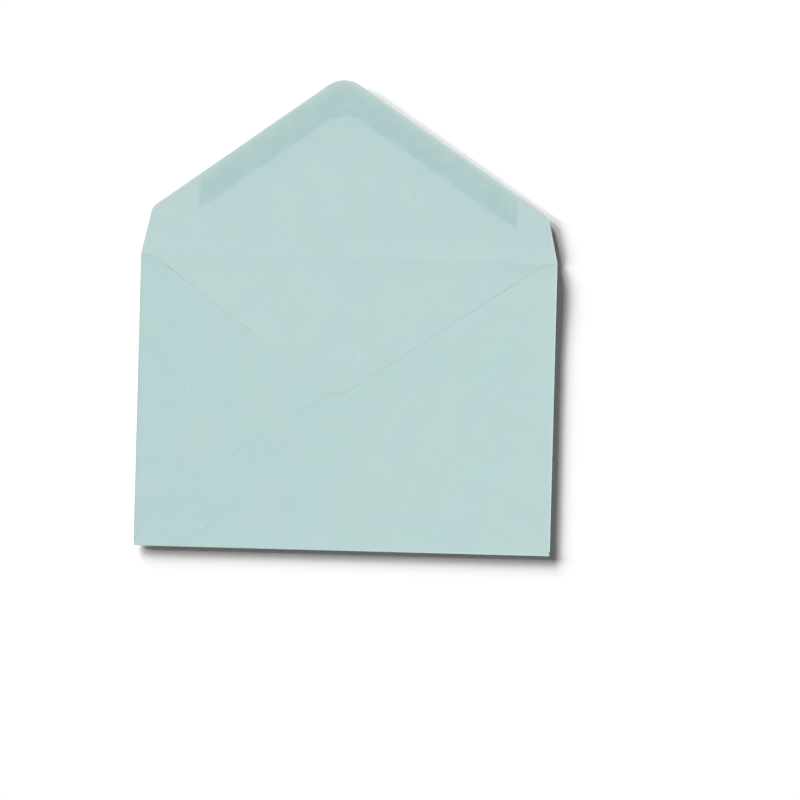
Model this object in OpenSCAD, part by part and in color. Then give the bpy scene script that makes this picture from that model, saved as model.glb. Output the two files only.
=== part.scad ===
// Paper envelope with a pointed, gummed flap, lying back up with the flap open.
// One four-pointed sheet: the front panel lies on the table, the two side flaps are folded in,
// and the bottom flap is folded up over them and glued along two slanting seams.
// The origin is the middle of the front panel's underside. +Y points to the seal flap, +Z up.

/* [Body] */
// Width between the two side folds
body_w = 162; // [130:1:240]
// Height from the bottom fold to the seal flap's fold
body_h = 114; // [100:1:170]
// Thickness of the paper
paper_t = 0.1; // [0.06:0.01:0.2]
// Free height inside, between the front panel and the side flaps
pocket_gap = 0.6; // [0.3:0.1:2]
// Sideways shift of the cut points from the middle of the folds
cut_shift = -3.5; // [-6:0.5:6]

/* [Seal flap] */
// Height from the fold to the rounded point
flap_h = 69; // [50:1:90]
// Height of the flap's tapering sides
shoulder_h = 18; // [12:1:30]
// How far the tapering sides come in, on each side
shoulder_in = 4; // [1:0.5:10]
// Radius of the shoulders
shoulder_r = 5; // [1:0.5:10]
// Radius of the point
point_r = 11; // [4:1:20]
// Angle at which the open flap still stands up from the table, in degrees
flap_angle = 0.5; // [0:0.5:20]

/* [Throat] */
// Depth from the fold to where the throat's two edges would cross
throat_drop = 54.9; // [40:0.1:60]
// Distance from the side folds at which those edges would start
throat_in = 3.4; // [2:0.1:8]
// Gap between the fold and the level ends of the side flaps
level_drop = 0.8; // [0.4:0.1:2]
// Radius of the corner between a level end and the throat's edge
level_corner_r = 12; // [4:1:20]

/* [Side and bottom flaps] */
// How far the bottom flap's point reaches over the crossing of the throat's edges
point_lap = 2.2; // [0.5:0.1:8]
// Radius of the bottom flap's point
bottom_point_r = 8; // [3:1:15]
// Height of the bottom flap's tapering sides
bottom_shoulder_h = 14; // [8:1:20]
// How far those sides come in, on each side
bottom_shoulder_in = 3; // [1:0.5:8]
// Radius of the bottom flap's shoulders
bottom_shoulder_r = 5; // [1:0.5:8]
// Width of the glued seams, where the bottom flap lies on the side flaps
seam_w = 9; // [5:0.5:12]
// Gap between the two side flaps where they meet
side_gap = 0.6; // [0.2:0.1:4]
// Radius of the side flaps' corners there
side_corner_r = 2; // [0.5:0.5:3]
// Gap between the ends of the side folds and the bottom fold
fold_gap = 0.1; // [0.05:0.05:0.5]

/* [Gum] */
// Thickness of the dried film
gum_t = 0.03; // [0.02:0.01:0.06]
// Width of the gummed band
gum_w = 9.5; // [5:0.5:12]
// Bare paper between the gum and the flap's edge
gum_margin = 0.8; // [0.4:0.1:3]
// Distance from the side folds to the band's ends
gum_end_in = 19; // [14:1:40]
// Sideways shift of the band from the middle of the folds
gum_shift = 2.9; // [-5:0.1:5]
// Radius of the band's inner edge under the point
gum_inner_r = 13; // [4:1:20]

/* [Hidden] */

$fn = 64;
arc_step = 6;
paper_colour = [0.73, 0.83, 0.82];
gum_colour = [0.68, 0.8, 0.79];

fold_y = body_h / 2;
bottom_y = -body_h / 2;

// The side folds hold the pocket open, and the bottom fold goes round the side flaps as well
side_fold_r = pocket_gap / 2;
bottom_fold_r = (pocket_gap + paper_t) / 2;

// Edges of the front panel's flat part, where the folds begin
flat_x = body_w / 2 - side_fold_r - paper_t;
flat_y = bottom_y + bottom_fold_r + paper_t;

// The bottom flap is as wide as its fold
bottom_half_w = flat_x - fold_gap;
bottom_flap_h = body_h - throat_drop + point_lap;

function unit(v) = v / norm(v);
function turn(a, b) = a.x * b.y - a.y * b.x;

// Lines are pairs of points. The point of a line at x, and where two lines cross
function at_x(line, x) = line[0] + (line[1] - line[0]) * (x - line[0].x) / (line[1].x - line[0].x);
function crossing(a, b) =
    let (along = a[1] - a[0])
    let (other = b[1] - b[0])
    a[0] + along * turn(b[0] - a[0], other) / turn(along, other);

// A line moved straight down by as much as brings it this far from where it was
function lowered(line, distance) =
    let (along = line[1] - line[0])
    let (drop = distance * norm(along) / abs(along.x))
    [line[0] - [0, drop], line[1] - [0, drop]];

// An outline with rounded corners, from its corner points in order and a radius for each
function rounded(corners, radii) = [
    for (i = [0:len(corners) - 1])
        let (last = len(corners) - 1)
        let (back = unit(corners[i == 0 ? last : i - 1] - corners[i]))
        let (ahead = unit(corners[i == last ? 0 : i + 1] - corners[i]))
        each radii[i] == 0 ? [corners[i]] : corner_arc(corners[i], back, ahead, radii[i])
];
function corner_arc(corner, back, ahead, r) =
    let (half = acos(back * ahead) / 2)
    let (centre = corner + unit(back + ahead) * r / sin(half))
    let (start = corner + back * r / tan(half) - centre)
    let (first = atan2(start.y, start.x))
    let (sweep = (180 - 2 * half) * sign(turn(ahead, back)))
    let (steps = ceil(abs(sweep) / arc_step))
    [for (k = [0:steps]) centre + r * [cos(first + sweep * k / steps), sin(first + sweep * k / steps)]];

// The slanting edge of a pointed flap, from its shoulder to the arc of radius r that ends it at height h
function slant(shoulder, h, r) =
    let (to_centre = [cut_shift, h - r] - shoulder)
    let (angle = atan2(to_centre.y, to_centre.x) - sign(shoulder.x) * asin(r / norm(to_centre)))
    [shoulder, shoulder + [cos(angle), sin(angle)]];

// A pointed flap's outline, with the fold that carries it along y = 0
function pointed_flap(half_w, shoulder, h, shoulder_r, point_r) =
    let (other = [-shoulder.x, shoulder.y])
    let (apex = crossing(slant(shoulder, h, point_r), slant(other, h, point_r)))
    rounded([[-half_w, 0], [half_w, 0], shoulder, apex, other], [0, 0, shoulder_r, point_r, shoulder_r]);

// A flat piece of the sheet
module paper(outline) {
    linear_extrude(paper_t)
        polygon(outline);
}

// Cross-section of a fold at the origin, with the flap that it brings back over the front panel.
// It starts inside the panel, by as much as the paper is thick, so that the two are one sheet
module folded_section(inner_r, reach) {
    outer_r = inner_r + paper_t;
    square(paper_t);
    translate([0, outer_r])
        intersection() {
            difference() {
                circle(outer_r);
                circle(inner_r);
            }
            translate([-2 * outer_r, -outer_r])
                square(2 * outer_r);
        }
    translate([0, outer_r + inner_r])
        square([reach, paper_t]);
}

// All that stands over an outline, from under the table to above the envelope
module standing_over(outline) {
    translate([0, 0, -paper_t])
        linear_extrude(pocket_gap + 5 * paper_t)
            polygon(outline);
}

// The front panel. Its top corners reach the full width, past the ends of the side folds
module front_panel() {
    right = [
        [flat_x, flat_y],
        [flat_x, fold_y - level_drop],
        [body_w / 2, fold_y - level_drop],
        [body_w / 2, fold_y]
    ];
    left = [for (i = [len(right) - 1:-1:0]) [-right[i].x, right[i].y]];
    paper(concat(right, left));
}

// A side flap's outline: the level end, the throat's edge, the end at the other flap, the seam's edge
function side_outline(side) =
    let (throat = [[side * (body_w / 2 - throat_in), fold_y], [cut_shift, fold_y - throat_drop]])
    let (level = [[0, fold_y - level_drop], [side, fold_y - level_drop]])
    let (shoulder = [side * (bottom_half_w - bottom_shoulder_in), bottom_shoulder_h])
    let (edge = slant(shoulder, bottom_flap_h, bottom_point_r))
    let (seam = lowered([for (p = edge) p + [0, bottom_y]], seam_w))
    let (end_x = cut_shift + side * side_gap / 2)
    let (outside = side * body_w)
    rounded(
        [
            [outside, level[0].y],
            crossing(throat, level),
            at_x(throat, end_x),
            at_x(seam, end_x),
            at_x(seam, outside)
        ],
        [0, level_corner_r, side_corner_r, side_corner_r, 0]
    );

module side_flap(side) {
    intersection() {
        mirror([side > 0 ? 1 : 0, 0, 0])
            translate([-flat_x, fold_y, 0])
                rotate([90, 0, 0])
                    linear_extrude(fold_y - flat_y - fold_gap)
                        folded_section(side_fold_r, body_w);
        standing_over(side_outline(side));
    }
}

module bottom_flap() {
    shoulder = [bottom_half_w - bottom_shoulder_in, bottom_shoulder_h];
    outline = pointed_flap(bottom_half_w, shoulder, bottom_flap_h, bottom_shoulder_r, bottom_point_r);
    intersection() {
        translate([-bottom_half_w, flat_y, 0])
            rotate([90, 0, 90])
                linear_extrude(2 * bottom_half_w)
                    folded_section(bottom_fold_r, body_h);
        translate([0, bottom_y, 0])
            standing_over(outline);
    }
}

// What lies over an outline on the open seal flap, from z to z + t above the flap's underside.
// The outline's y starts at the crease, where the flap turns up from the front panel
module on_seal_flap(outline, z, t) {
    reach = 2 * flap_h;
    rise = reach * tan(flap_angle);
    translate([0, fold_y, 0])
        intersection() {
            translate([-body_w, 0, z])
                rotate([90, 0, 90])
                    linear_extrude(2 * body_w)
                        polygon([[-reach, -rise], [reach, rise], [reach, rise + t], [-reach, t - rise]]);
            translate([0, 0, -rise - t])
                linear_extrude(2 * (rise + z + t))
                    polygon(outline);
        }
}

module seal_flap() {
    shoulder = [body_w / 2 - shoulder_in, shoulder_h];
    on_seal_flap(pointed_flap(body_w / 2, shoulder, flap_h, shoulder_r, point_r), 0, paper_t);
}

// The whole sheet as it is cut, folded and glued
module envelope() {
    color(paper_colour) {
        front_panel();
        side_flap(-1);
        side_flap(1);
        bottom_flap();
        seal_flap();
    }
}

// The dried gum on the seal flap's inside, a band along both slanting edges
module gum_strip() {
    edges = [for (side = [-1, 1]) slant([side * (body_w / 2 - shoulder_in), shoulder_h], flap_h, point_r)];
    outer = [for (edge = edges) lowered(edge, gum_margin)];
    inner = [for (edge = edges) lowered(edge, gum_margin + gum_w)];
    ends = [for (side = [-1, 1]) gum_shift + side * (body_w / 2 - gum_end_in)];
    outline = rounded(
        [
            at_x(inner[0], ends[0]),
            crossing(inner[0], inner[1]),
            at_x(inner[1], ends[1]),
            at_x(outer[1], ends[1]),
            crossing(outer[0], outer[1]),
            at_x(outer[0], ends[0])
        ],
        [0, gum_inner_r, 0, 0, point_r - gum_margin, 0]
    );
    color(gum_colour)
        on_seal_flap(outline, paper_t, gum_t);
}

envelope();
gum_strip();
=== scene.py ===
import math

import bmesh
import bpy
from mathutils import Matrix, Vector, noise


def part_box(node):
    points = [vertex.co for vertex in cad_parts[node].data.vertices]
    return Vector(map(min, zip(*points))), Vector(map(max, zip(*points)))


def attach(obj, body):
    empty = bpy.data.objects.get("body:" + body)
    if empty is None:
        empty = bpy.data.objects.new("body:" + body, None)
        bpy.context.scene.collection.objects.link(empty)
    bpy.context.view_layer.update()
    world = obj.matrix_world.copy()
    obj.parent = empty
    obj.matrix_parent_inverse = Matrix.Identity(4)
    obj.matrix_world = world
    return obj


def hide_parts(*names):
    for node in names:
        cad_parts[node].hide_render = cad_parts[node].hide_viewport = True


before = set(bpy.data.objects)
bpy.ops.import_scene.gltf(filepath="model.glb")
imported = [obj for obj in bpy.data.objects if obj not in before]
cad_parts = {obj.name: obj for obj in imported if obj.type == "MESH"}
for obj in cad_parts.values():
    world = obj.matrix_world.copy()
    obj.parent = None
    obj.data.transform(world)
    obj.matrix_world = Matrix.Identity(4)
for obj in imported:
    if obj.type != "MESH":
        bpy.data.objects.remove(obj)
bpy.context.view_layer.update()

# The envelope, one sheet of thin uncoated paper, cut to a blank with four flaps. The side flaps are
# folded in over the front panel, the bottom flap is folded up over them and glued to both along its
# slanting edges, and the seal flap lies open. It gets its thickness once it is folded and trimmed.
mm = 0.001
hair = 0.0005 * mm
paper = 0.1 * mm
pocket = 0.25 * mm
glue = 0.01 * mm
cut_shift = -3.5 * mm
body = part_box("envelope")
half_width = body[1].x
bottom = body[0].y
crease = -bottom

front_z = paper / 2
side_z = front_z + pocket + paper
back_z = side_z + paper + glue
side_fold_r = (side_z - front_z) / 2
bottom_fold_r = (back_z - front_z) / 2
panel_x = half_width - side_fold_r - paper / 2
panel_bottom = bottom + bottom_fold_r + paper / 2

flap_height = 69 * mm
flap_shoulder = (4 * mm, 18 * mm)
shoulder_r = 5 * mm
tip_r = 11 * mm
back_height = 61.3 * mm
back_shoulder = (3.5 * mm, 14 * mm)
back_tip_r = 8 * mm
throat_in = 3.4 * mm
throat_depth = 54.9 * mm
level_drop = 0.8 * mm
level_corner_r = 12 * mm
seam = 9 * mm
side_gap = 0.6 * mm
side_corner_r = 2 * mm
fold_steps = 10
corner_steps = 12
grid = 2 * mm


def pick(kind, wanted):
    """In edit mode, selects the faces, edges or corners whose middle wanted() says yes to."""
    bpy.ops.mesh.select_mode(type=kind)
    bpy.ops.mesh.select_all(action="DESELECT")
    mesh = bpy.context.edit_object.data
    parts = bmesh.from_edit_mesh(mesh)
    for part in {"VERT": parts.verts, "EDGE": parts.edges, "FACE": parts.faces}[kind]:
        corners = [part] if kind == "VERT" else part.verts
        if wanted(sum((corner.co for corner in corners), Vector()) / len(corners)):
            part.select_set(True)
    parts.select_flush_mode()
    bmesh.update_edit_mesh(mesh)


def draw_out(edges, way):
    """Draws the picked edges out into new paper, flat and as far as way says."""
    pick("EDGE", edges)
    bpy.ops.mesh.extrude_region_move(TRANSFORM_OT_translate={"value": way})


def fold_over(edges, centre, axis, way):
    """Folds the paper back from the picked edge in a half turn round the centre, and on flat."""
    pick("EDGE", edges)
    bpy.ops.mesh.spin(steps=fold_steps, angle=-math.pi, center=centre, axis=axis)
    bpy.ops.mesh.extrude_region_move(TRANSFORM_OT_translate={"value": way})


def across(start, end, keep):
    """Direction across the line from start to end, away from the point keep."""
    turned = Vector((start.y - end.y, end.x - start.x, 0)).normalized()
    return turned if turned.dot(keep - start) < 0 else -turned


def trim(faces, start, end, keep):
    """Cuts the picked faces along the line from start to end. The side of the point keep stays."""
    pick("FACE", faces)
    bpy.ops.mesh.bisect(
        plane_co=start, plane_no=across(start, end, keep), clear_outer=True, threshold=hair
    )


def round_corner(near, radius):
    """Rounds the corner of the outline nearest to a point with an arc of that radius."""
    parts = bmesh.from_edit_mesh(bpy.context.edit_object.data)
    corner = min(parts.verts, key=lambda v: (v.co - near).length)
    place = corner.co.copy()
    sides = [e.other_vert(corner).co - place for e in corner.link_edges if e.is_boundary]
    half = sides[0].angle(sides[1]) / 2
    pick("VERT", lambda p: (p - place).length < hair)
    bulge = (1 + 2 * math.sin(half)) / (2 + 2 * math.sin(half))
    bpy.ops.mesh.bevel(
        affect="VERTICES",
        offset=radius / math.tan(half),
        segments=corner_steps,
        profile=bulge**2,
        clamp_overlap=False,
    )


def score(first, last, step, square_to):
    """Divides the whole sheet by straight lines, evenly spaced from first to last."""
    count = round((last - first) / step)
    for k in range(1, count):
        bpy.ops.mesh.select_all(action="SELECT")
        at = square_to * (first + (last - first) * k / count)
        bpy.ops.mesh.bisect(plane_co=at, plane_no=square_to, threshold=hair)


def flat(x, y):
    """A place or a way on the level, with no height."""
    return Vector((x, y, 0))


def crossing(a, b, c, d):
    """Where the line from a to b crosses the line from c to d."""
    along = b - a
    other = d - c
    turn = along.x * other.y - along.y * other.x
    gone = ((c.x - a.x) * other.y - (c.y - a.y) * other.x) / turn
    return a + along * gone


def slant(shoulder, tip, radius):
    """A point further along the straight edge from a shoulder to the arc of a round tip."""
    inwards = tip - flat(0, radius) - shoulder
    turn = math.asin(radius / inwards.length)
    angle = math.atan2(inwards.y, inwards.x) + (turn if shoulder.x < 0 else -turn)
    return shoulder + flat(math.cos(angle), math.sin(angle))


bpy.ops.object.select_all(action="DESELECT")
bpy.ops.mesh.primitive_plane_add(size=1, location=(0, (crease + panel_bottom) / 2, front_z))
sheet = bpy.context.object
sheet.name = "folded_sheet"
sheet.scale = (2 * panel_x, crease - panel_bottom, 1)
bpy.ops.object.transform_apply(location=True, rotation=True, scale=True)
bpy.ops.object.mode_set(mode="EDIT")

# The bottom flap's two shoulders, tip and slanting edges, the throat's edges across the side
# flaps, and the side flaps' ends and lower edges, which run under the glued seams
left, right = -1, 1
back_tip = flat(cut_shift, bottom + back_height)
back_corner = {}
back_edge = {}
throat_start = {}
seam_start = {}
seam_end = {}
flap_end = {}
throat_end = flat(cut_shift, crease - throat_depth)
for side in (left, right):
    back_corner[side] = flat(side * (half_width - back_shoulder[0]), bottom + back_shoulder[1])
    back_edge[side] = slant(back_corner[side], back_tip, back_tip_r)
    throat_start[side] = flat(side * (half_width - throat_in), crease)
    down = across(back_corner[side], back_edge[side], flat(0, crease)) * seam
    seam_start[side] = back_corner[side] + down
    seam_end[side] = back_edge[side] + down
    flap_end[side] = cut_shift + side * side_gap / 2

# The side folds end just above the seams' lower edges
level = crease - level_drop
seam_foot = [
    crossing(seam_start[side], seam_end[side], flat(side * panel_x, 0), flat(side * panel_x, 1)).y
    for side in (left, right)
]
fold_end = max(seam_foot) + paper
for y in (level, fold_end):
    bpy.ops.mesh.select_all(action="SELECT")
    bpy.ops.mesh.bisect(plane_co=(0, y, 0), plane_no=(0, 1, 0), threshold=hair)

for side in (left, right):
    fold_over(
        lambda p: abs(p.x - side * panel_x) < hair and fold_end < p.y < level,
        (side * panel_x, 0, front_z + side_fold_r),
        (0, -side, 0),
        (flap_end[side] - side * panel_x, 0, 0),
    )
fold_over(
    lambda p: abs(p.y - panel_bottom) < hair and p.z < side_z / 2,
    (0, panel_bottom, front_z + bottom_fold_r),
    (-1, 0, 0),
    (0, back_height + seam, 0),
)

# The front panel's top corners reach the full width past the side folds, and carry the seal flap
for side in (left, right):
    draw_out(
        lambda p: abs(p.x - side * panel_x) < hair and p.y > level,
        (side * (half_width - panel_x), 0, 0),
    )
draw_out(lambda p: abs(p.y - crease) < hair, (0, flap_height + seam, 0))

for side in (left, right):
    def this_flap(p):
        return abs(p.z - side_z) < hair and (p.x - cut_shift) * side > 0

    keep = flat(side * (panel_x - level_drop), 0)
    trim(this_flap, throat_start[side], throat_end, keep)
    trim(this_flap, seam_start[side], seam_end[side], keep)
    edge_of_end = (flat(flap_end[side], 0), flat(flap_end[side], 1))
    lift = Vector((0, 0, side_z))
    level_line = (flat(0, level), flat(1, level))
    round_corner(crossing(throat_start[side], throat_end, *level_line) + lift, level_corner_r)
    round_corner(crossing(throat_start[side], throat_end, *edge_of_end) + lift, side_corner_r)
    round_corner(crossing(seam_start[side], seam_end[side], *edge_of_end) + lift, side_corner_r)


def pointed(faces, foot, shoulders, tip, radius, height):
    """Trims a flap to its tapering sides and its two slanting edges, and rounds its corners."""
    for side in (left, right):
        trim(faces, flat(side * foot.x, foot.y), shoulders[side], tip - flat(0, radius))
        trim(faces, shoulders[side], slant(shoulders[side], tip, radius), tip - flat(0, radius))
    lift = Vector((0, 0, height))
    apex = crossing(
        shoulders[left], slant(shoulders[left], tip, radius),
        shoulders[right], slant(shoulders[right], tip, radius),
    )
    for corner, r in ((apex, radius), (shoulders[left], shoulder_r), (shoulders[right], shoulder_r)):
        round_corner(corner + lift, r)


pointed(
    lambda p: abs(p.z - back_z) < hair,
    flat(panel_x, panel_bottom), back_corner, back_tip, back_tip_r, back_z,
)
flap_tip = flat(cut_shift, crease + flap_height)
flap_corner = {}
for side in (left, right):
    flap_corner[side] = flat(side * (half_width - flap_shoulder[0]), crease + flap_shoulder[1])
pointed(
    lambda p: p.y > crease + hair,
    flat(half_width, crease), flap_corner, flap_tip, tip_r, front_z,
)

# Fine divisions, for the paper's own relief, with finer ones along the seal flap's crease, on the
# side flaps along the edges of the bottom flap that is glued to them, and on the bottom flap's
# tip along the throat's edges under it. Both rows of cuts are in millimetres from those edges
tip_cuts = (-0.8, -0.4, 0)
press_cuts = (-1.5, -0.75, 0, 0.75, 1.5)
crease_band = 1.5 * grid
crease_grid = grid / 6
for side in (left, right):
    down = across(throat_start[side], throat_end, flat(0, 1))
    for step in tip_cuts:
        pick("FACE", lambda p: abs(p.z - back_z) < hair)
        bpy.ops.mesh.bisect(plane_co=throat_end + down * step * mm, plane_no=down, threshold=hair)
    down = across(back_corner[side], back_edge[side], flat(0, 1))
    for step in press_cuts:
        pick("FACE", lambda p: abs(p.z - side_z) < hair and (p.x - cut_shift) * side > 0)
        bpy.ops.mesh.bisect(
            plane_co=back_corner[side] + down * step * mm, plane_no=down, threshold=hair
        )
score(-half_width, half_width, grid, Vector((1, 0, 0)))
score(bottom, crease + flap_height, grid, Vector((0, 1, 0)))
score(crease - crease_band, crease + crease_band, crease_grid, Vector((0, 1, 0)))
bpy.ops.mesh.select_all(action="SELECT")
bpy.ops.mesh.remove_doubles(threshold=hair)
bpy.ops.mesh.normals_make_consistent(inside=False)
bpy.ops.object.mode_set(mode="OBJECT")

# Paper never lies quite flat. Slow waves run through all its layers, it stands up a little on both
# sides of the seal flap's crease, and wet gum has drawn the flap's edges into small ripples
flap_degrees = 0.5
flap_rise = math.tan(math.radians(flap_degrees))
wave = 0.012 * mm
wave_length = 38 * mm
crease_rise = 0.24 * mm
crease_width = 3.2 * mm
crease_reach = 20 * mm
soft_x = -12 * mm
soft_reach = 42 * mm
firm_middle = 0.2
firm_side = {left: 0.9, right: 1.5}
ripple = 0.022 * mm
ripple_length = 7 * mm
ripple_reach = 12 * mm
ripple_start = 20 * mm
flap_wave = 0.06 * mm
flap_wave_length = 32 * mm
flap_wave_start = 40 * mm


def swell(x, y, length):
    """A smooth random height from about -1 to 1, in waves of about that length."""
    return noise.noise(Vector((x / length, y / length, length / mm)))


def ease(share):
    """Goes smoothly from 0 to 1 as the share does, and stays there beyond."""
    share = min(max(share, 0), 1)
    return share * share * (3 - 2 * share)


def below(x, y, corners, ends, nearest):
    """How far a place lies below two slanting lines, of which nearest is min or max."""
    return nearest(
        (flat(x, y) - corners[side]).dot(across(corners[side], ends[side], flat(0, 1)))
        for side in (left, right)
    )


def depth_in(x, y, corners, ends, tip, radius):
    """How far a place lies inside a pointed flap's slanting edges and the arc of its tip."""
    out = flat(x, y) - (tip - flat(0, radius))
    at_tip = all(out.dot(ends[side] - corners[side]) > 0 for side in (left, right))
    return radius - out.length if at_tip else below(x, y, corners, ends, min)


flap_edge = {side: slant(flap_corner[side], flap_tip, tip_r) for side in (left, right)}
seal_flap = (flap_corner, flap_edge, flap_tip, tip_r)
back_flap = (back_corner, back_edge, back_tip, back_tip_r)
throat_ends = {left: throat_end, right: throat_end}


def lie(x, y):
    """How far the sheet's lowest layer is raised at a place."""
    above = y - crease
    side = left if x < soft_x else right
    firm = firm_middle + firm_side[side] * ease(abs(x - soft_x) / soft_reach)
    shoulders = math.exp(-((above / crease_reach) ** 2)) - math.exp(-((above / crease_width) ** 2))
    height = wave * (1 + swell(x, y, wave_length)) + crease_rise * firm * shoulders
    if above > 0:
        depth = depth_in(x, y, *seal_flap)
        near_gum = math.exp(-((depth / ripple_reach) ** 2)) * ease(above / ripple_start)
        height += above * flap_rise + ripple * near_gum * swell(x, y, ripple_length)
        height += flap_wave * ease(above / flap_wave_start) * swell(x, y, flap_wave_length)
    return height


# The flaps over the pocket are held up at the folds and belly out between them. The folds are
# pressed flat at the crease, the bottom flap's edges are pressed into the side flaps and its tip
# onto the panel, and the throat's edges lie down, apart from a few stretches that have sprung up
held_by_side = 14 * mm
held_at_crease = 7 * mm
held_by_foot = 25 * mm
pressed_fold = 0.1 * mm
pressed_reach = 18 * mm
throat_gap = 0.015 * mm
belly = 0.14 * mm
belly_reach = 22 * mm
belly_length = 27 * mm
belly_uneven = 0.3
press = 0.085 * mm
press_reach = 1.5 * mm
tip_start = 0.2 * mm
tip_bend = 1.3 * mm
tip_drop = 0.118 * mm
sprung_depth = 5 * mm
sprung_length = 4.5 * mm
sprung_uneven = 1.2
sprung = (
    (-69.3 * mm, 3.2 * mm, 0.28 * mm),
    (-62 * mm, 1.8 * mm, 0.08 * mm),
    (-46 * mm, 2 * mm, 0.16 * mm),
    (-39.3 * mm, 3.5 * mm, 0.16 * mm),
    (60 * mm, 14 * mm, 0.045 * mm),
)


def sunk(x, y, z):
    """How far a layer over the pocket lies below its height at the folds."""
    over = min(max((z - front_z) / (side_z - front_z), 0), 1)
    on_back = ease((z - side_z) / (back_z - side_z))
    pressed = ease((crease - y) / pressed_reach)
    at_fold = pressed_fold + (pocket - pressed_fold) * pressed
    held = held_at_crease + (held_by_side - held_at_crease) * pressed
    edge = below(x, y, throat_start, throat_ends, max)
    uneven = 1 + belly_uneven * swell(x, y, belly_length)
    gap = throat_gap + belly * ease(edge / belly_reach) * uneven
    uneven = 1 + sprung_uneven * swell(x, y, sprung_length)
    near_edge = math.exp(-((edge / sprung_depth) ** 2)) * uneven
    for middle, reach, height in sprung:
        gap += height * near_edge * math.exp(-(((x - middle) / reach) ** 2))
    gap -= press * ease((depth_in(x, y, *back_flap) + press_reach) / (2 * press_reach))
    free = ease((panel_x - abs(x)) / held) * ease((y - panel_bottom) / held_by_foot)
    tip = on_back * tip_drop * ease((-edge - tip_start) / tip_bend)
    return over * (pocket - at_fold * (1 - free) - max(gap, throat_gap) * free) + tip


for vertex in sheet.data.vertices:
    x, y, z = vertex.co
    vertex.co.z = z + lie(x, y) - sunk(x, y, z)

# The sheet's thickness, with the face that ends up inside, the face outside and the cut edges
# as three materials
for name in ("paper_inside", "paper_outside", "paper_cut"):
    sheet.data.materials.append(bpy.data.materials.new(name))
thicken = sheet.modifiers.new("thickness", "SOLIDIFY")
thicken.thickness = paper
thicken.offset = 0
thicken.material_offset = 1
thicken.material_offset_rim = 2
bpy.ops.object.modifier_apply(modifier=thicken.name)
smooth_below = math.radians(40)
bpy.ops.object.shade_smooth_by_angle(angle=smooth_below)


def from_edge(x, y):
    """How far a place lies inside the outline of the open envelope."""
    aside = half_width - abs(x)
    if y <= crease:
        return min(aside, y - bottom)
    taper = flap_shoulder[0] / flap_shoulder[1]
    return min(aside - (y - crease) * taper, depth_in(x, y, *seal_flap))


gum_margin = 0.8 * mm
gum_reach = 11.2 * mm
gum_ends = (-59.1 * mm, 64.9 * mm)
gum_reach_r = 14 * mm
soaked_r = gum_reach + gum_reach_r
apex = crossing(flap_corner[left], flap_edge[left], flap_corner[right], flap_edge[right])
soaked_centre = apex + (flap_tip - flat(0, tip_r) - apex) * soaked_r / tip_r
soaked_flap = (flap_corner, flap_edge, soaked_centre + flat(0, soaked_r), soaked_r)
no_gum = 10


def share_across(x, y):
    """How far across the gummed band a place is, from 0 at its outer edge to 1 at its inner one."""
    if y <= crease:
        return no_gum
    past_outer = depth_in(x, y, *seal_flap) - gum_margin
    to_inner = gum_reach - depth_in(x, y, *soaked_flap)
    return past_outer / (past_outer + to_inner)


for name, measure in (("from_edge", from_edge), ("across", share_across)):
    values = sheet.data.attributes.new(name, "FLOAT", "POINT").data
    for vertex, value in zip(sheet.data.vertices, values):
        value.value = measure(vertex.co.x, vertex.co.y)


def add(tree, kind, inputs=None, **settings):
    """Adds a node with its settings and its inputs, which are values or other nodes' outputs."""
    node = tree.nodes.new("ShaderNode" + kind)
    for name, value in settings.items():
        setattr(node, name, value)
    for name, value in (inputs or {}).items():
        if isinstance(value, bpy.types.NodeSocket):
            tree.links.new(value, node.inputs[name])
        else:
            node.inputs[name].default_value = value
    return node


def tinted(tree, share, colour, other, how="MIX"):
    """Mixes two colours, each a value or a node's output, by a share from 0 to 1."""
    mix = add(tree, "Mix", {0: share, 6: colour, 7: other}, data_type="RGBA", blend_type=how)
    return mix.outputs[2]


def ramp(tree, value, low, high, start=0.0, end=1.0):
    """Runs smoothly from start to end as the value goes from low to high."""
    steps = {"Value": value, "From Min": low, "From Max": high, "To Min": start, "To Max": end}
    return add(tree, "MapRange", steps, interpolation_type="SMOOTHSTEP").outputs["Result"]


def sums(tree, how, a, b):
    """Adds, multiplies or otherwise combines two values, each a number or a node's output."""
    return add(tree, "Math", {0: a, 1: b}, operation=how).outputs[0]


# The paper's own look, for every face of it and for what lies on it: cloudy pulp, short fibres
# and a few darker and lighter specks, in millimetres. Across the sheet's thickness the pattern
# changes at once, so that its two faces and its layers differ
stock = bpy.data.node_groups.new("paper_stock", "ShaderNodeTree")
stock.interface.new_socket("Tint", in_out="INPUT", socket_type="NodeSocketColor")
stock.interface.new_socket("Colour", in_out="OUTPUT", socket_type="NodeSocketColor")
stock.interface.new_socket("Height", in_out="OUTPUT", socket_type="NodeSocketFloat")
tint = stock.nodes.new("NodeGroupInput").outputs["Tint"]
place = add(stock, "TexCoord").outputs["Object"]
per_mm = 1 / mm
through_sheet = 15 * per_mm
cloud_share = 0.06
grain_share = 0.03
grain_height = 0.004
place = add(stock, "Mapping", {"Vector": place, "Scale": (per_mm, per_mm, through_sheet)})
place = place.outputs["Vector"]
cloud = add(stock, "TexNoise", {"Vector": place, "Scale": 0.08, "Detail": 2, "Roughness": 0.55})
grain = add(stock, "TexNoise", {"Vector": place, "Scale": 1.1, "Detail": 2, "Roughness": 0.6})
cloudy = tinted(stock, cloud_share, tint, cloud.outputs["Color"], "OVERLAY")
cloudy = tinted(stock, grain_share, cloudy, grain.outputs["Color"], "OVERLAY")
wander = add(stock, "TexNoise", {"Vector": place, "Scale": 0.9, "Detail": 1})
loose = add(
    stock, "VectorMath", {0: wander.outputs["Color"], 1: place}, operation="ADD"
).outputs[0]
dark_fibre = (0.12, 0.2, 0.22, 1)
pale_fleck = (0.9, 0.95, 0.93, 1)
specks_per_mm = 0.13
speck_reach = 0.65
speck_core = 0.2 * speck_reach
speckled = cloudy
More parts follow.
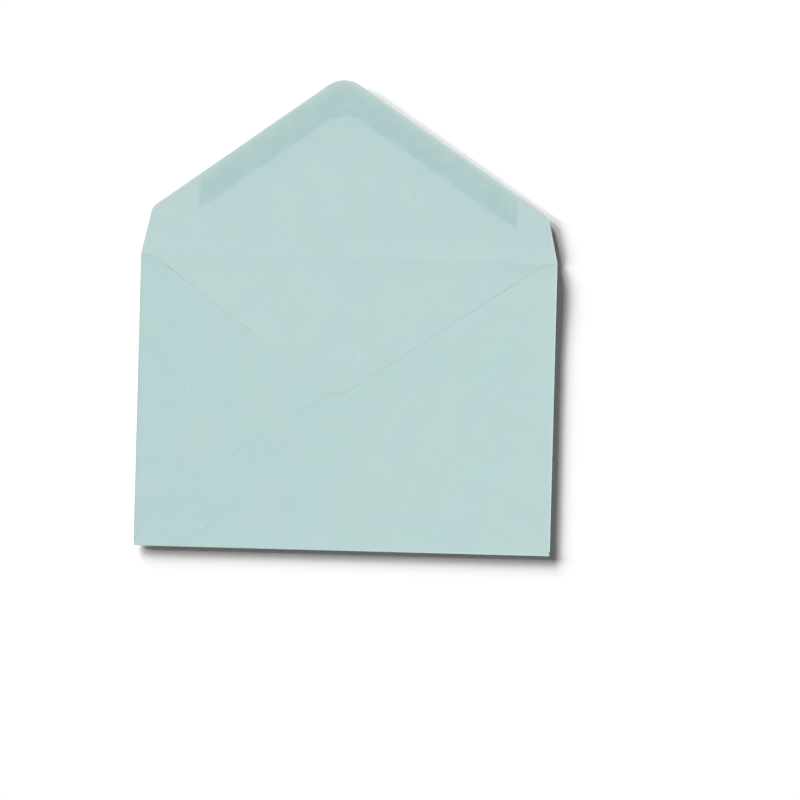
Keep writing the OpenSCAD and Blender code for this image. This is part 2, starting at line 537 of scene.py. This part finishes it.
raised = sums(stock, "MULTIPLY", grain.outputs[0], grain_height)
for shift, stretch, shade, strength, bump in (
    (0, (0.5, 1.3, 1), dark_fibre, 0.19, -0.008),
    (40, (0.8, 1.0, 1), pale_fleck, 0.3, -0.015),
    (90, (1.4, 0.6, 1), dark_fibre, 0.16, -0.008),
):
    spot = add(
        stock, "Mapping", {"Vector": loose, "Location": (shift, shift, shift), "Scale": stretch}
    )
    cells = add(stock, "TexVoronoi", {"Vector": spot.outputs[0], "Scale": specks_per_mm})
    mm_away = sums(stock, "DIVIDE", cells.outputs["Distance"], specks_per_mm)
    speck = ramp(stock, mm_away, speck_reach, speck_core)
    speck = sums(stock, "MULTIPLY", speck, cells.outputs["Color"])
    speckled = tinted(stock, speck, speckled, tinted(stock, strength, cloudy, shade))
    raised = sums(stock, "ADD", raised, sums(stock, "MULTIPLY", speck, bump))
out = stock.nodes.new("NodeGroupOutput")
stock.links.new(speckled, out.inputs["Colour"])
stock.links.new(raised, out.inputs["Height"])


def dress(material, tint, roughness, shine):
    """Gives a material the paper's look under a tint, which is a colour or a maker of one."""
    material.use_nodes = True
    tree = material.node_tree
    tree.nodes.clear()
    look = tree.nodes.new("ShaderNodeGroup")
    look.node_tree = stock
    if callable(tint):
        tree.links.new(tint(tree), look.inputs["Tint"])
    else:
        look.inputs["Tint"].default_value = tint
    relief = add(
        tree, "Bump", {"Height": look.outputs["Height"], "Distance": mm, "Strength": 1.0}
    )
    surface = add(
        tree,
        "BsdfPrincipled",
        {
            "Base Color": look.outputs["Colour"],
            "Normal": relief.outputs["Normal"],
            "Roughness": roughness,
            "Specular IOR Level": shine,
        },
    )
    add(tree, "OutputMaterial", {"Surface": surface.outputs[0]})


paper_tone = (0.5, 0.652, 0.647, 1)
damp_tone = (0.478, 0.645, 0.638, 1)
# A greyer, slightly paler tone along the outline's edges, and how far in it reaches
grey_rim_tone = (0.59, 0.655, 0.66, 1)
grey_rim_reach = (0.95 * mm, 0.25 * mm)
# Painted light: the outside's tones at its left and right edges, the right one lighter, as if more
# light fell there
outside_tones_painted_lighter_right = ((0.474, 0.648, 0.642, 1), (0.497, 0.662, 0.648, 1))
# Painted shade and highlight on the outside's folds: darker towards the left, paler towards the right,
# as light falls on their rounding
fold_painted_shade_and_highlight = ((0.47, 0.6, 0.59, 1), (0.6, 0.73, 0.715, 1))
painted_fold_rim = (0.9 * mm, 0.1 * mm)
cut_tone = (0.53, 0.64, 0.63, 1)

# The gum's look, for its film and for the flap's paper, into which it soaked beyond the film. It
# is thin at its outer edge and its ends, darker in uneven patches towards its inner edge, which
# is soft and ragged, and has left the paper around it a little darker. Each pair of values says
# where a soft change starts and ends, in shares across the band, or in lengths inside its ends
outer_tone = (0.435, 0.581, 0.543, 1)
inner_tone = (0.381, 0.547, 0.545, 1)
patchiness = 2.0
thickening = (0.8, 1.7)
raggedness = 0.24
outer_fade = (-0.08, 0.15)
inner_fade = (1.22, 0.94)
end_fade = (-1 * mm, 1.2 * mm)
damp_fade = (2.3, 1.0)
damp_end_fade = (-1 * mm, 12 * mm)
gummed = bpy.data.node_groups.new("gummed_paper", "ShaderNodeTree")
gummed.interface.new_socket("Bare", in_out="INPUT", socket_type="NodeSocketColor")
gummed.interface.new_socket("Colour", in_out="OUTPUT", socket_type="NodeSocketColor")
bare = gummed.nodes.new("NodeGroupInput").outputs["Bare"]
share = add(gummed, "Attribute", attribute_name="across").outputs["Fac"]
place = add(gummed, "TexCoord").outputs["Object"]
x_place = add(gummed, "SeparateXYZ", {0: place}).outputs["X"]
from_left = sums(gummed, "SUBTRACT", x_place, gum_ends[0])
from_right = sums(gummed, "SUBTRACT", gum_ends[1], x_place)
inside_ends = sums(gummed, "MINIMUM", from_left, from_right)
patches = add(gummed, "TexNoise", {"Vector": place, "Scale": 170, "Detail": 3}).outputs[0]
thick = sums(gummed, "ADD", share, sums(gummed, "MULTIPLY", patches, patchiness))
tone = tinted(gummed, ramp(gummed, thick, *thickening), outer_tone, inner_tone)
ragged = add(gummed, "TexNoise", {"Vector": place, "Scale": 140, "Detail": 3}).outputs[0]
reached = sums(gummed, "ADD", share, sums(gummed, "MULTIPLY", ragged, raggedness))
outer_edge = ramp(gummed, share, *outer_fade)
wetted = sums(gummed, "MULTIPLY", ramp(gummed, reached, *inner_fade), outer_edge)
wetted = sums(gummed, "MULTIPLY", wetted, ramp(gummed, inside_ends, *end_fade))
damp_end = ramp(gummed, inside_ends, *damp_end_fade)
damp = sums(gummed, "MULTIPLY", ramp(gummed, share, *damp_fade), damp_end)
end = gummed.nodes.new("NodeGroupOutput")
around = tinted(gummed, damp, bare, damp_tone)
gummed.links.new(tinted(gummed, wetted, around, tone), end.inputs["Colour"])


def gum_tint(tree):
    """The inside's paper with the gum on it."""
    look = tree.nodes.new("ShaderNodeGroup")
    look.node_tree = gummed
    look.inputs["Bare"].default_value = paper_tone
    return look.outputs["Colour"]


def inside_tint(tree):
    """The inside, with the gum soaked into the flap, and greyer within about a millimetre of the
    outline's edges.
    """
    distance = add(tree, "Attribute", attribute_name="from_edge").outputs["Fac"]
    return tinted(tree, ramp(tree, distance, *grey_rim_reach), gum_tint(tree), grey_rim_tone)


def outside_tint(tree):
    """The outside, a little different in tone from the inside, painted lighter towards its right side
    as painted light, and with painted shade and highlight on its folds, darker on the left and paler
    on the right.
    """
    place = add(tree, "SeparateXYZ", {0: add(tree, "TexCoord").outputs["Object"]})
    aside = ramp(tree, place.outputs["X"], -half_width, half_width)
    tone = tinted(tree, aside, *outside_tones_painted_lighter_right)
    # Painted shade on the left folds and painted highlight on the right ones
    painted_fold_light = tinted(tree, aside, *fold_painted_shade_and_highlight)
    distance = add(tree, "Attribute", attribute_name="from_edge").outputs["Fac"]
    return tinted(tree, ramp(tree, distance, *painted_fold_rim), tone, painted_fold_light)


dress(bpy.data.materials["paper_inside"], inside_tint, roughness=0.9, shine=0.25)
dress(bpy.data.materials["paper_outside"], outside_tint, roughness=0.9, shine=0.25)
dress(bpy.data.materials["paper_cut"], cut_tone, roughness=0.95, shine=0.2)

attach(sheet, "root")
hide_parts("envelope")

# The gum. A band of wet adhesive is rolled on along both slanting edges of the seal flap's
# inside, with its ends cut square to the crease, and dries to a thin, slightly glossy film that
# is darker where it ran thicker towards its inner edge.
film = 0.03 * mm
gum_width = 9.5 * mm
gum_inner_r = 13 * mm
gum_z = front_z + (paper + film) / 2
gum_wander = 0.45 * mm
wander_lengths = (11 * mm, 5 * mm)
past_ends = 100 * mm
outer_line = {}
inner_line = {}
for side in (left, right):
    inward = across(flap_corner[side], flap_edge[side], flat(0, 1))
    for line, depth in ((outer_line, gum_margin), (inner_line, gum_margin + gum_width)):
        line[side] = (flap_corner[side] + inward * depth, flap_edge[side] + inward * depth)
outer_point = crossing(*outer_line[left], *outer_line[right])
inner_point = crossing(*inner_line[left], *inner_line[right])

bpy.ops.object.select_all(action="DESELECT")
bpy.ops.mesh.primitive_plane_add(size=1)
gum = bpy.context.object
gum.name = "gum_film"
corners = gum.data.vertices
back = (outer_line[left][0] - outer_line[left][1]).normalized() * past_ends
corners[0].co = inner_point + back
corners[1].co = inner_point
corners[2].co = outer_point + back
corners[3].co = outer_point
bpy.ops.object.mode_set(mode="EDIT")
middle = (inner_point + outer_point) / 2
along = (outer_line[right][0] - outer_line[right][1]).normalized() * past_ends
draw_out(lambda p: (p - middle).length < hair, along)
for end in gum_ends:
    trim(lambda p: True, flat(end, 0), flat(end, 1), middle)
pick("EDGE", lambda p: (p - middle).length < hair)
bpy.ops.mesh.dissolve_edges(use_verts=False)
round_corner(outer_point, tip_r - gum_margin)
round_corner(inner_point, gum_inner_r)
score(-half_width, half_width, grid, Vector((1, 0, 0)))
score(bottom, crease + flap_height, grid, Vector((0, 1, 0)))
bpy.ops.mesh.select_all(action="SELECT")
bpy.ops.mesh.normals_make_consistent(inside=False)
bpy.ops.object.mode_set(mode="OBJECT")

for vertex in gum.data.vertices:
    x, y, z = vertex.co
    z = gum_z + lie(x, y)
    drift = sum(swell(x, y, length) for length in wander_lengths)
    y -= gum_wander * share_across(x, y) * drift
    vertex.co = (x, y, z)
gum.data.materials.append(bpy.data.materials.new("dried_gum"))
thicken = gum.modifiers.new("thickness", "SOLIDIFY")
thicken.thickness = film
thicken.offset = 0
bpy.ops.object.modifier_apply(modifier=thicken.name)
bpy.ops.object.shade_smooth_by_angle(angle=smooth_below)
spread = gum.data.attributes.new("across", "FLOAT", "POINT")
for vertex, share in zip(gum.data.vertices, spread.data):
    share.value = share_across(vertex.co.x, vertex.co.y)

dress(bpy.data.materials["dried_gum"], gum_tint, roughness=0.45, shine=0.4)
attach(gum, "root")
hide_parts("gum_strip")

# The white table, the light and the camera. The envelope is lit softly from above and from the
# lower right, and the table by three lamps low on the upper left, so that thin paper still throws
# a wide shadow on it.
table_gap = 0.6 * mm
table_width = 8000 * mm
bpy.ops.object.select_all(action="DESELECT")
bpy.ops.mesh.primitive_plane_add(size=table_width, location=(0, 0, -table_gap))
table = bpy.context.object
table.name = "table"
white = bpy.data.materials.new("table_white")
white.use_nodes = True
white.node_tree.nodes.clear()
chalk = add(white.node_tree, "BsdfDiffuse", {"Color": (1, 1, 1, 1)})
add(white.node_tree, "OutputMaterial", {"Surface": chalk.outputs[0]})
table.data.materials.append(white)


def sun(name, share, azimuth, height, width, on_table):
    """Adds a sun, placed in degrees, that gives level paper, or the table, this share of its light."""
    bpy.ops.object.light_add(type="SUN")
    lamp = bpy.context.object
    lamp.name = name
    level_way = math.cos(math.radians(height))
    way = Vector((
        -level_way * math.cos(math.radians(azimuth)),
        -level_way * math.sin(math.radians(azimuth)),
        -math.sin(math.radians(height)),
    ))
    lamp.rotation_euler = way.to_track_quat("-Z", "Y").to_euler()
    lamp.data.energy = share * math.pi / math.sin(math.radians(height))
    lamp.data.angle = math.radians(width)
    lit = bpy.data.collections.new(name)
    lit.objects.link(table)
    lit.collection_objects[0].light_linking.link_state = "INCLUDE" if on_table else "EXCLUDE"
    lamp.light_linking.receiver_collection = lit


sun("ceiling", share=0.73, azimuth=0, height=90, width=120, on_table=False)
sun("window", share=0.15, azimuth=-50, height=32, width=40, on_table=False)
for azimuth in (120, 140, 160):
    sun(f"low_sun_{azimuth}", share=0.3, azimuth=azimuth, height=9, width=10, on_table=True)

fill_share = 0.12
room = bpy.data.worlds.new("room")
bpy.context.scene.world = room
room.use_nodes = True
room.node_tree.nodes.clear()
ray = add(room.node_tree, "LightPath")
seen = sums(room.node_tree, "MAXIMUM", ray.outputs["Is Camera Ray"], ray.outputs["Is Glossy Ray"])
seen = sums(room.node_tree, "MAXIMUM", seen, ray.outputs["Is Transmission Ray"])
fill = add(room.node_tree, "Background", {"Color": (1, 1, 1, 1), "Strength": fill_share})
backdrop = add(room.node_tree, "Background", {"Color": (1, 1, 1, 1), "Strength": 1.0})
shown = add(room.node_tree, "MixShader", {0: seen, 1: fill.outputs[0], 2: backdrop.outputs[0]})
add(room.node_tree, "OutputWorld", {"Surface": shown.outputs[0]})

camera_place = (21.16 * mm, 2.23 * mm, 734.96 * mm)
camera_turn = math.radians(1.514)
bpy.ops.object.camera_add(location=camera_place, rotation=(0, 0, camera_turn))
camera = bpy.context.object
camera.data.lens = 85
camera.data.clip_start = 10 * mm
bpy.context.scene.camera = camera
bpy.context.scene.view_settings.view_transform = "Standard"
